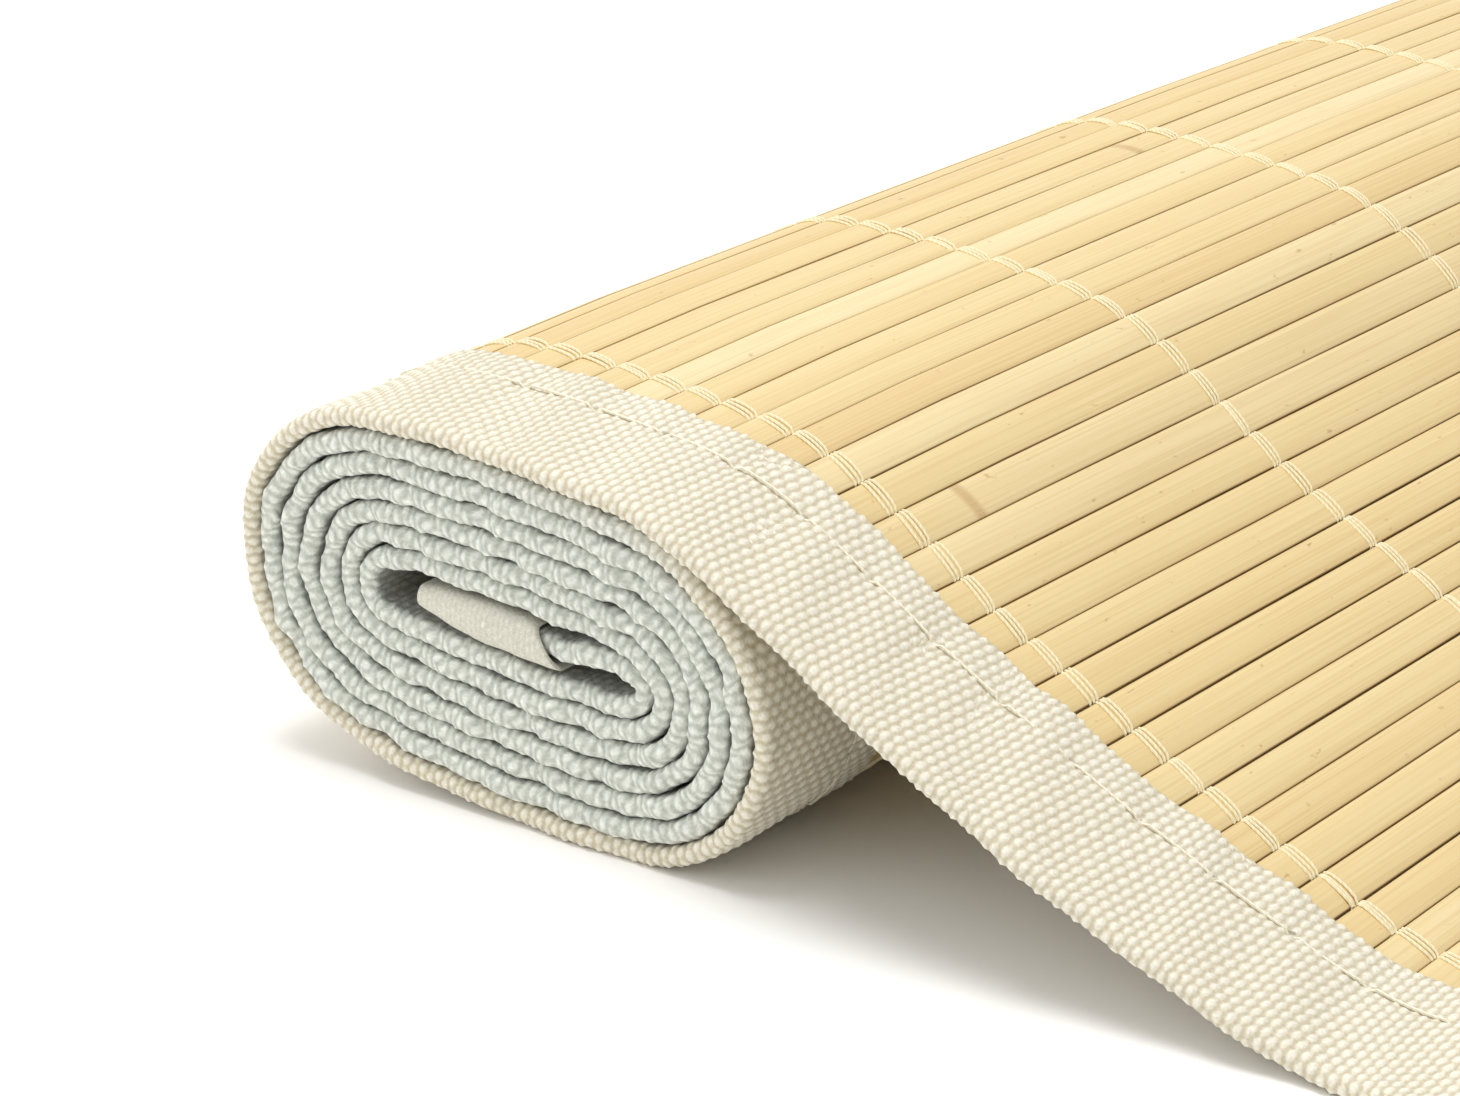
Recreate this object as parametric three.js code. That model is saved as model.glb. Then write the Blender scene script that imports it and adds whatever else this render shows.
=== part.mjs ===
// A bamboo slat mat, part rolled: a flat end on the surface, a slope up to the roll, seven oval turns.
// Millimetres, +Z up. The slats lie along Y, and the mat is wound about Y at its -X end.
// A binding tape is folded in half over each long edge of the slat panel, so its section is a channel.
// Every piece follows the mat's mid line, each at its own distance from it.
import * as THREE from "three";

// The cloth
const MAT_WIDTH = 300; // along the slats, over both tapes
const SLAT_PITCH = 5; // one slat and its gap
const SLAT_HALF_THICKNESS = 0.5;
const SLAT_ROUNDING = 0.6; // from a gap to the full thickness
const GAP_TOP = 0.1; // faces of the bridge that the threads make between two slats, from the mid line
const GAP_BOTTOM = -0.2;
const TAPE_BAND = 23; // width of the folded tape
const TAPE_THICKNESS = 2.3; // over both layers of the tape and the slat between them
const TAPE_WALL = 0.42; // one layer of the tape
const FOLD_WALL = 0.9; // the fold at the tape's edge, along Y
const SLAT_INSET = 1.3; // from the fold's outer edge to the slats' ends

// The roll: each turn lies one pitch outside the next, round a flat oval core
const TURNS = 7;
const TURN_PITCH = 2.73;
const CORE_ROOM = 1.4; // from the core's oval to the innermost point of the mid line
const CORE_HALF_LENGTH = 16.6;
const CORE_HALF_HEIGHT = 1;
const ROLL_TILT = THREE.MathUtils.degToRad(-4.8);
const ROLL_CENTRE_HEIGHT = 21.1;
const LEAN = 0.055; // share by which the turns are wider apart along the lean's direction
const LEAN_DIRECTION = THREE.MathUtils.degToRad(-22);
const TELESCOPE = 0.25; // each turn lies this much deeper than the one outside it

// The roll is wound tighter at the near edge: rise of its top, by the distance along the slats
const SWELL_KNOTS = [
  { y: 0, rise: 0.3 },
  { y: 45, rise: 2.3 },
  { y: 171, rise: 4.1 },
  { y: MAT_WIDTH, rise: 4.7 },
];
const ROLL_TOP = 42.6; // height of the mid line over the roll's top
const SWELL_FADES_FROM = 22; // the rise dies out down the slope, from the core's middle
const SWELL_FADES_TO = 50;

// The inner end: a leg along the core, with the tape's tail folded back over it
const LEG_HEIGHT = 0.68; // its mid line above the core's axis
const LEG_END = -13; // from the core's middle
const LEG_TURN = THREE.MathUtils.degToRad(4); // the last turn leaves for the leg this much before its top
const TAIL_LENGTH = 19;
const TAIL_STEP = 2.5; // length over which the leg thickens into the tail
const TAIL_THICKNESS = 4.2;

// The loose end: its mid line from the roll down to the surface, from the core's middle
const LEAVES_ROLL_AT = THREE.MathUtils.degToRad(78);
const SLOPE_KNOTS = [
  { x: 52.6, z: 22.6, slope: -0.51 },
  { x: 82.3, z: 8.4, slope: -0.39 },
  { x: 107, z: TAPE_THICKNESS / 2, slope: 0 },
];
const FLAT_END = 108; // length that lies flat on the surface

// Steps along the mid line
const FULL_TURN = 2 * Math.PI;
const TOP = Math.PI / 2;
const STEP_ANGLE = THREE.MathUtils.degToRad(15);
const STEP_LENGTH = 9;
const WALK = THREE.MathUtils.degToRad(1);
const SLOPE_STEPS = 8;
const FLAT_STEPS = 3;
const RIBBED_TURNS = 1.3; // the outer turns, whose slats show

const BAMBOO = new THREE.MeshStandardMaterial({ color: 0xdcc08c, roughness: 0.6, metalness: 0 });
const COTTON = new THREE.MeshStandardMaterial({ color: 0xe6dcc2, roughness: 0.95, metalness: 0 });

/** Puts a point of the core's frame in the roll's place, with the turn that it belongs to. */
function placed(x, z, turn) {
  const c = Math.cos(ROLL_TILT);
  const s = Math.sin(ROLL_TILT);
  return { x: x * c - z * s, z: ROLL_CENTRE_HEIGHT + x * s + z * c, turn, swelling: 1 };
}

/** Height that the roll's swell adds to a station, at a distance along the slats. */
function riseAt(station, y) {
  const found = SWELL_KNOTS.findIndex((knot) => knot.y >= y);
  const next = SWELL_KNOTS[Math.max(found, 1)];
  const last = SWELL_KNOTS[Math.max(found, 1) - 1];
  const rise = THREE.MathUtils.mapLinear(y, last.y, next.y, last.rise, next.rise);
  const rest = TAPE_THICKNESS / 2;
  return (rise * station.swelling * (station.z - rest)) / (ROLL_TOP - rest);
}

/** Point of the wound mid line whose outward normal has this winding angle. */
function woundPoint(angle) {
  const c = Math.cos(angle);
  const s = Math.sin(angle);
  const turn = (angle - TOP) / FULL_TURN;
  const lean = 1 + LEAN * Math.cos(2 * (angle - LEAN_DIRECTION));
  const distance = (CORE_ROOM + TURN_PITCH * (TURNS - turn)) * lean;
  const support = Math.hypot(CORE_HALF_LENGTH * c, CORE_HALF_HEIGHT * s);
  const x = (CORE_HALF_LENGTH ** 2 * c) / support + distance * c;
  const z = (CORE_HALF_HEIGHT ** 2 * s) / support + distance * s;
  return placed(x, z, Math.max(0, turn));
}

/** Winding angles of one turn, the same for all, so that neighbouring turns stay parallel. */
function turnStations() {
  const stations = [TOP];
  for (let angle = TOP + WALK; angle < TOP + FULL_TURN - WALK / 2; angle += WALK) {
    const last = stations[stations.length - 1];
    const from = woundPoint(last);
    const to = woundPoint(angle + WALK);
    const far = Math.hypot(to.x - from.x, to.z - from.z) > STEP_LENGTH;
    if (far || angle - last > STEP_ANGLE - WALK / 2) {
      stations.push(angle);
    }
  }
  return stations;
}

/** Point at a share of the way between two knots of given slope. */
function slopePoint(a, b, share) {
  const run = b.x - a.x;
  const square = share ** 2;
  const cube = share ** 3;
  const fromEnds = (2 * cube - 3 * square + 1) * a.z + (3 * square - 2 * cube) * b.z;
  const fromSlopes = (cube - 2 * square + share) * a.slope + (cube - square) * b.slope;
  const x = a.x + run * share;
  const swelling = 1 - THREE.MathUtils.smoothstep(x, SWELL_FADES_FROM, SWELL_FADES_TO);
  return { x, z: fromEnds + run * fromSlopes, turn: 0, swelling };
}

/** Mid line of the loose end, from the mat's outer end up to where it meets the roll. */
function looseEnd() {
  const meet = woundPoint(LEAVES_ROLL_AT);
  const beside = woundPoint(LEAVES_ROLL_AT + WALK);
  const slope = (beside.z - meet.z) / (beside.x - meet.x);
  const knots = [{ x: meet.x, z: meet.z, slope }, ...SLOPE_KNOTS];
  const points = [];
  for (let k = 0; k + 1 < knots.length; k += 1) {
    for (let step = 0; step < SLOPE_STEPS; step += 1) {
      points.push(slopePoint(knots[k], knots[k + 1], step / SLOPE_STEPS));
    }
  }
  const touch = knots[knots.length - 1];
  for (let step = 0; step <= FLAT_STEPS; step += 1) {
    points.push({ x: touch.x + (FLAT_END * step) / FLAT_STEPS, z: touch.z, turn: 0, swelling: 0 });
  }
  return points.reverse();
}

/** The whole mid line, from the mat's outer end to its inner end in the core. */
function midLine() {
  const points = looseEnd();
  const stations = turnStations();
  const first = LEAVES_ROLL_AT + WALK;
  const last = TOP + TURNS * FULL_TURN - LEG_TURN;
  for (let turn = -1; turn < TURNS; turn += 1) {
    const angles = stations.map((station) => station + turn * FULL_TURN);
    points.push(...angles.filter((angle) => angle > first && angle < last).map(woundPoint));
  }
  const tailStart = LEG_END + TAIL_LENGTH;
  for (const x of [tailStart + TAIL_STEP, tailStart, tailStart - TAIL_LENGTH / 2, LEG_END]) {
    points.push(placed(x, LEG_HEIGHT, TURNS));
  }
  for (const point of points) {
    point.z = Math.max(point.z, TAPE_THICKNESS / 2);
  }
  return points;
}

/** The mid line as stations with their distance from the outer end and a mitred outward normal. */
function measured(points) {
  const along = points.slice(1).map((point, i) => {
    return new THREE.Vector2(point.x - points[i].x, point.z - points[i].z);
  });
  let distance = 0;
  return points.map((point, i) => {
    const before = along[Math.max(i - 1, 0)].clone().normalize();
    const after = along[Math.min(i, along.length - 1)].clone().normalize();
    const mean = before.clone().add(after).normalize();
    const mitre = 1 / mean.dot(after);
    distance += i > 0 ? along[i - 1].length() : 0;
    return { ...point, distance, nx: mean.y * mitre, nz: -mean.x * mitre };
  });
}

/** Station at any distance along the mid line, between the measured ones. */
function stationAt(line, distance) {
  const found = line.findIndex((station) => station.distance >= distance);
  const next = line[found < 1 ? 1 : found];
  const last = line[found < 1 ? 0 : found - 1];
  const share = (distance - last.distance) / (next.distance - last.distance);
  const station = { distance };
  for (const key of ["x", "z", "turn", "nx", "nz", "swelling"]) {
    station[key] = THREE.MathUtils.lerp(last[key], next[key], share);
  }
  return station;
}

/** Closed mesh of a ring of section points, carried along stations of the mid line, with its end faces. */
function carried(name, material, stations, sectionAt, capFaces) {
  const sections = stations.map(sectionAt);
  const count = sections[0].length;
  const vertices = [];
  stations.forEach((station, i) => {
    for (const [off, y] of sections[i]) {
      const z = station.z + station.nz * off + riseAt(station, y);
      vertices.push(station.x + station.nx * off, y + TELESCOPE * station.turn, z);
    }
  });
  const faces = [];
  for (let i = 0; i + 1 < stations.length; i += 1) {
    for (let k = 0; k < count; k += 1) {
      const a = i * count + k;
      const b = i * count + ((k + 1) % count);
      faces.push(a, b + count, b, a, a + count, b + count);
    }
  }
  const end = (stations.length - 1) * count;
  for (const [a, b, c] of capFaces) {
    faces.push(a, c, b);
    faces.push(end + a, end + b, end + c);
  }
  const geometry = new THREE.BufferGeometry();
  geometry.setAttribute("position", new THREE.Float32BufferAttribute(vertices, 3));
  geometry.setIndex(faces);
  geometry.computeVertexNormals();
  const mesh = new THREE.Mesh(geometry, material);
  mesh.name = name;
  return mesh;
}

/** The slats as one ribbed sheet: ribs where they show, and plain in the inner turns. */
function slatPanel(line) {
  const ribEnd = line.find((station) => station.turn > RIBBED_TURNS).distance;
  const slats = Math.round(ribEnd / SLAT_PITCH);
  const stations = [];
  for (let slat = 0; slat < slats; slat += 1) {
    const gap = slat * SLAT_PITCH;
    stations.push({ ...stationAt(line, gap), inGap: slat > 0 });
    stations.push(stationAt(line, gap + SLAT_ROUNDING));
    stations.push(stationAt(line, gap + SLAT_PITCH - SLAT_ROUNDING));
  }
  const bends = line.filter((station) => {
    const fromGap = station.distance % SLAT_PITCH;
    const onSlat = fromGap > SLAT_ROUNDING && fromGap < SLAT_PITCH - SLAT_ROUNDING;
    return onSlat || station.distance > slats * SLAT_PITCH;
  });
  stations.push(...bends);
  stations.sort((a, b) => a.distance - b.distance);
  const lengths = [SLAT_INSET, SWELL_KNOTS[1].y, SWELL_KNOTS[2].y, MAT_WIDTH - SLAT_INSET];
  const count = 2 * lengths.length;
  const capFaces = lengths.slice(1).flatMap((_, k) => {
    const across = count - 1 - k;
    return [[k, across - 1, k + 1], [k, across, across - 1]];
  });
  const sectionAt = (station) => {
    const top = station.inGap ? GAP_TOP : SLAT_HALF_THICKNESS;
    const bottom = station.inGap ? GAP_BOTTOM : -SLAT_HALF_THICKNESS;
    return [...lengths.map((y) => [bottom, y]), ...lengths.map((y) => [top, y]).reverse()];
  };
  return carried("slat_panel", BAMBOO, stations, sectionAt, capFaces);
}

/** A tape folded over one long edge: a channel, with its tail thickened at the core. */
function bindingTape(name, line, fold, inward) {
  const tailStart = line[line.length - 1].distance - TAIL_LENGTH;
  const sectionAt = (station) => {
    const toTail = THREE.MathUtils.smoothstep(station.distance, tailStart - TAIL_STEP, tailStart);
    const outer = THREE.MathUtils.lerp(TAPE_THICKNESS, TAIL_THICKNESS, toTail) / 2;
    const inner = TAPE_THICKNESS / 2 - TAPE_WALL;
    const section = [
      [-outer, fold],
      [-outer, fold + inward * TAPE_BAND],
      [-inner, fold + inward * TAPE_BAND],
      [-inner, fold + inward * FOLD_WALL],
      [inner, fold + inward * FOLD_WALL],
      [inner, fold + inward * TAPE_BAND],
      [outer, fold + inward * TAPE_BAND],
      [outer, fold],
    ];
    return inward > 0 ? section : section.reverse();
  };
  const outline = sectionAt(line[0]).map(([off, y]) => new THREE.Vector2(off, y));
  return carried(name, COTTON, line, sectionAt, THREE.ShapeUtils.triangulateShape(outline, []));
}

const line = measured(midLine());
const mat = new THREE.Group();
mat.add(slatPanel(line));
mat.add(bindingTape("binding_tape_near", line, 0, 1));
mat.add(bindingTape("binding_tape_far", line, MAT_WIDTH, -1));

// The origin is under the middle of the mat's box, on the surface
const box = new THREE.Box3().setFromObject(mat);
mat.position.set(-(box.min.x + box.max.x) / 2, -(box.min.y + box.max.y) / 2, -box.min.z);

export default mat;
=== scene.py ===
"""A bamboo slat mat with cotton-bound edges, part rolled: slats, thread rows, tapes and their stitching."""
import logging
import math
from dataclasses import dataclass, field
from enum import Enum
from typing import Any, Optional, Sequence

import bpy
import numpy as np
from mathutils import Matrix, Vector


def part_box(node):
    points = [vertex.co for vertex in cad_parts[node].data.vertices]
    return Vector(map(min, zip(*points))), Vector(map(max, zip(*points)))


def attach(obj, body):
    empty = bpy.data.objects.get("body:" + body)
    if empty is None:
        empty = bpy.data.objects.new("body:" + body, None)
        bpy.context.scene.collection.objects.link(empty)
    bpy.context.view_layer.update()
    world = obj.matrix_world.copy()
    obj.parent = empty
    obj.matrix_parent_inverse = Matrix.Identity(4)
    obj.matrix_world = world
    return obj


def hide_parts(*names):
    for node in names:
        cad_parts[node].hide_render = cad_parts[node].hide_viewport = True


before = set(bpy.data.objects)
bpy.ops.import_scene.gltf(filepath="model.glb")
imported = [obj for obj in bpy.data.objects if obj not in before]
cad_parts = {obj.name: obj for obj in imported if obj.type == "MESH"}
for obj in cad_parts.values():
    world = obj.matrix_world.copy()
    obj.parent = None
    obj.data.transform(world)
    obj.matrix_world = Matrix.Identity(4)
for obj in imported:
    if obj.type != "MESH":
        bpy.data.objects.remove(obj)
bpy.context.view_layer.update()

LOG = logging.getLogger("bamboo_mat")
MM = 0.001
BODY = "root"
IMAGE_WIDTH = 1460
FULL_TURN = 2 * math.pi
TOP = math.pi / 2
RIB_SHARE = 0.62  # share of the weave's height that is even ribs; the rest is the bumps along them
RIB_PITCH = 1.16  # mm from one rib of the tape to the next
BUMP_PITCH = 0.91  # mm along a rib from the middle of a bump to the middle of the next hollow
ROWS = 5  # of thread
FIRST_ROW = 29.0  # mm from the near edge
ROW_PITCH = 60.5
Array = np.ndarray
Pair = tuple[float, float]
Socket = bpy.types.NodeSocket


class Edge(Enum):
    """Which long edge of the mat a tape binds: the name of its piece and the way in from its fold."""

    NEAR = ("near", 1)
    FAR = ("far", -1)


class Face(Enum):
    """Face of the mat: outside the roll and on top of the sheet, or the other one."""

    OUTER = 1
    INNER = -1


def linear(colour: str) -> tuple[float, float, float, float]:
    """Turns an sRGB hex colour into linear values.

    Args:
        colour: six hex digits after a hash sign.

    Returns:
        Linear red, green and blue, with an alpha of 1.
    """
    channels = [int(colour[i:i + 2], 16) / 255 for i in (1, 3, 5)]
    low, high = 12.92, 1.055
    made = [c / low if c <= 0.04045 else ((c + high - 1) / high) ** 2.4 for c in channels]
    return (*made, 1.0)


def add_node(
    tree: bpy.types.NodeTree,
    kind: str,
    inputs: Optional[dict[Any, Any]] = None,
    ramp: Sequence[tuple[float, str]] = (),
    **settings: Any,
) -> bpy.types.Node:
    """Adds a shader node with its settings and links.

    Args:
        tree: node tree of a material or world.
        kind: the node's class.
        inputs: each input's name or number, with its value or the output that is linked to it.
        ramp: stops of a colour ramp, as places and hex colours.
        settings: properties of the node.

    Returns:
        The new node.
    """
    made = tree.nodes.new(kind)
    for name, value in settings.items():
        setattr(made, name, value)
    for key, value in (inputs or {}).items():
        if isinstance(value, Socket):
            tree.links.new(value, made.inputs[key])
        else:
            made.inputs[key].default_value = value
    for i, (place, colour) in enumerate(ramp):
        stops = made.color_ramp.elements
        stop = stops[i] if i < len(stops) else stops.new(place)
        stop.position = place
        stop.color = linear(colour)
    return made


@dataclass(frozen=True)
class Wave:
    """Smooth unevenness of hand work: a few sine waves of unlike lengths, added up."""

    height: float
    lengths: tuple[float, ...]  # in mm
    seed: int  # of the waves' phases

    def at(self, along: Array, more: int = 0) -> Array:
        """Works out the unevenness.

        Args:
            along: distances in mm.
            more: number added to the seed, for a piece whose unevenness differs.

        Returns:
            The sum of the waves at each distance, about the height at most.
        """
        phases = np.random.default_rng(self.seed + more).uniform(0, FULL_TURN, len(self.lengths))
        waves = [np.sin(FULL_TURN * along / length + phase) for length, phase in zip(self.lengths, phases)]
        return self.height * (sum(waves) / math.sqrt(len(self.lengths)))


def smooth_step(value: Array, low: float, high: float) -> Array:
    """Goes smoothly from 0 at the low value to 1 at the high one."""
    share = np.clip((np.asarray(value, float) - low) / (high - low), 0, 1)
    return share * share * (3 - 2 * share)


def bell(value: Array, reach: float) -> Array:
    """Falls smoothly from 1 at zero to almost nothing at twice the reach."""
    return np.exp(-(value / reach) ** 2)


class Shading:
    """A new material with its node tree, and the kinds of node that the finishes share."""

    def __init__(self, name: str) -> None:
        """Makes the material, with an empty node tree."""
        self.material = bpy.data.materials.new(name)
        self.material.use_nodes = True
        self.tree = self.material.node_tree
        self.tree.nodes.clear()

    def attribute(self, name: str) -> Socket:
        """Reads a coordinate that the mesh carries."""
        return add_node(self.tree, "ShaderNodeAttribute", attribute_name=name).outputs["Vector"]

    def split(self, vector: Socket) -> Sequence[Socket]:
        """Takes a vector apart into its three numbers."""
        return add_node(self.tree, "ShaderNodeSeparateXYZ", {0: vector}).outputs

    def number(self, operation: str, *values: Any) -> Socket:
        """Does one step of arithmetic on numbers."""
        return add_node(self.tree, "ShaderNodeMath", dict(enumerate(values)), operation=operation).outputs[0]

    def vector(self, operation: str, *values: Any) -> Socket:
        """Does one step of arithmetic on vectors or colours."""
        return add_node(
            self.tree, "ShaderNodeVectorMath", dict(enumerate(values)), operation=operation,
        ).outputs[0]

    def noise(
        self, place: Socket, width: float, length: float, detail: float, roughness: float = 0.5,
    ) -> Socket:
        """Adds noise of a real size.

        Args:
            place: coordinates in mm.
            width: size of its grains along the first coordinate.
            length: the same along the second one.
            detail: number of finer layers in it.
            roughness: how strong those layers are.

        Returns:
            The noise, between 0 and 1.
        """
        scaled = self.vector("MULTIPLY", place, (1 / width, 1 / length, 1.0))
        inputs = {"Vector": scaled, "Scale": 1.0, "Detail": detail, "Roughness": roughness}
        return add_node(self.tree, "ShaderNodeTexNoise", inputs).outputs["Fac"]

    def ranged(self, value: Socket, span: Pair, goal: Pair, soft: bool = False) -> Socket:
        """Carries one range of values over to another.

        Args:
            value: the number to carry over.
            span: its values where the range begins and ends.
            goal: the results there, which also hold outside the range.
            soft: whether the change begins and ends gently.

        Returns:
            The result.
        """
        kind = "SMOOTHSTEP" if soft else "LINEAR"
        inputs = {0: value, 1: span[0], 2: span[1], 3: goal[0], 4: goal[1]}
        return add_node(self.tree, "ShaderNodeMapRange", inputs, interpolation_type=kind).outputs[0]

    def ramp(self, value: Socket, *stops: tuple[float, str]) -> Socket:
        """Turns a number into a colour, by stops of a place and a hex colour."""
        return add_node(self.tree, "ShaderNodeValToRGB", {0: value}, ramp=stops).outputs[0]

    def mixed(self, share: Any, below: Any, above: Any) -> Socket:
        """Lays one colour over another, which shows by the share."""
        links = {0: share, 6: below, 7: above}
        return add_node(self.tree, "ShaderNodeMix", links, data_type="RGBA").outputs[2]

    def blended(self, share: Any, below: Any, above: Any) -> Socket:
        """Blends two numbers, the second by the share."""
        return add_node(self.tree, "ShaderNodeMix", {0: share, 2: below, 3: above}).outputs[0]

    def bump(self, height: Socket, strength: float, depth: float) -> Socket:
        """Gives the surface a fine relief, with its depth in mm."""
        inputs = {"Height": height, "Strength": strength, "Distance": depth * MM}
        return add_node(self.tree, "ShaderNodeBump", inputs).outputs[0]

    def surface(self, inputs: dict[str, Any]) -> bpy.types.Material:
        """Ends the material with its surface and hands it over."""
        shader = add_node(self.tree, "ShaderNodeBsdfPrincipled", inputs)
        add_node(self.tree, "ShaderNodeOutputMaterial", {0: shader.outputs[0]})
        return self.material


@dataclass(frozen=True)
class BambooFinish:
    """Split and planed bamboo, left raw: straight fibres, some nodes, and a low sheen on the crown."""

    name: str = "bamboo_split_planed"
    pale: str = "#e8d6a8"
    straw: str = "#dec58d"
    golden: str = "#d7b981"
    fibre: str = "#c8a66a"
    scar: str = "#a5763c"
    # painted shade on the slats' sides, in the gaps
    gap: str = "#96753f"
    ior: float = 1.5
    roughness: float = 0.48
    fibre_size: Pair = (0.3, 45.0)  # mm across and along a slat
    patch_size: Pair = (3.5, 38.0)
    speck_size: Pair = (1.3, 3.25)
    noise_detail: float = 3.0
    noise_roughness: float = 0.6
    fibre_share: float = 0.3  # how far the fibres' own colours cover the slat's tone
    patch_from: Pair = (0.5, 0.78)  # noise at which a patch begins and is full
    patch_share: float = 0.38
    scar_reach: Pair = (0.2, 1.5)  # mm from a cane node in which its mark fades
    scar_share: float = 0.85
    speck_from: Pair = (0.68, 0.76)
    speck_share: float = 0.55
    side_from: float = 0.97  # share of the half-width at which a slat's side begins
    side_shade: float = 0.85
    relief: float = 0.3
    relief_depth: float = 0.08

    def made(self) -> bpy.types.Material:
        """Builds the material; it reads the slats' own coordinates, so that each slat's grain differs."""
        shading = Shading(self.name)
        grain = shading.attribute("grain")
        tone, to_scar, aside = shading.split(shading.attribute("marks"))
        fibre, patch, speck = (
            shading.noise(grain, *size, self.noise_detail, self.noise_roughness)
            for size in (self.fibre_size, self.patch_size, self.speck_size)
        )
        # The fibres read as fine darker lines along each slat
        fibres = shading.ramp(fibre, (0.36, self.fibre), (0.5, self.straw), (0.68, self.pale))
        whole = shading.ramp(tone, (0.0, self.pale), (0.55, self.straw), (1.0, self.golden))
        base = shading.mixed(self.fibre_share, whole, fibres)
        # Long golden patches keep a slat from looking like paint
        patches = shading.ranged(patch, self.patch_from, (0.0, self.patch_share))
        base = shading.mixed(patches, base, linear(self.golden))
        # A node of the cane crosses some slats as a short brown smear that the fibres break up
        near = shading.number("ABSOLUTE", to_scar)
        smear = shading.ranged(near, self.scar_reach, (self.scar_share, 0.0), soft=True)
        base = shading.mixed(shading.number("MULTIPLY", smear, fibre), base, linear(self.scar))
        # Small brown specks lie scattered along the grain
        specks = shading.ranged(speck, self.speck_from, (0.0, self.speck_share))
        base = shading.mixed(specks, base, linear(self.scar))
        # Painted shade: the slat's sides, down in the gap, are darkened towards the gap colour
        side = shading.ranged(aside, (self.side_from, 1.0), (0.0, self.side_shade), soft=True)
        return shading.surface({
            "Base Color": shading.mixed(side, base, linear(self.gap)),
            "Roughness": self.roughness,
            "IOR": self.ior,
            "Normal": shading.bump(fibre, self.relief, self.relief_depth),
        })


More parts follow.
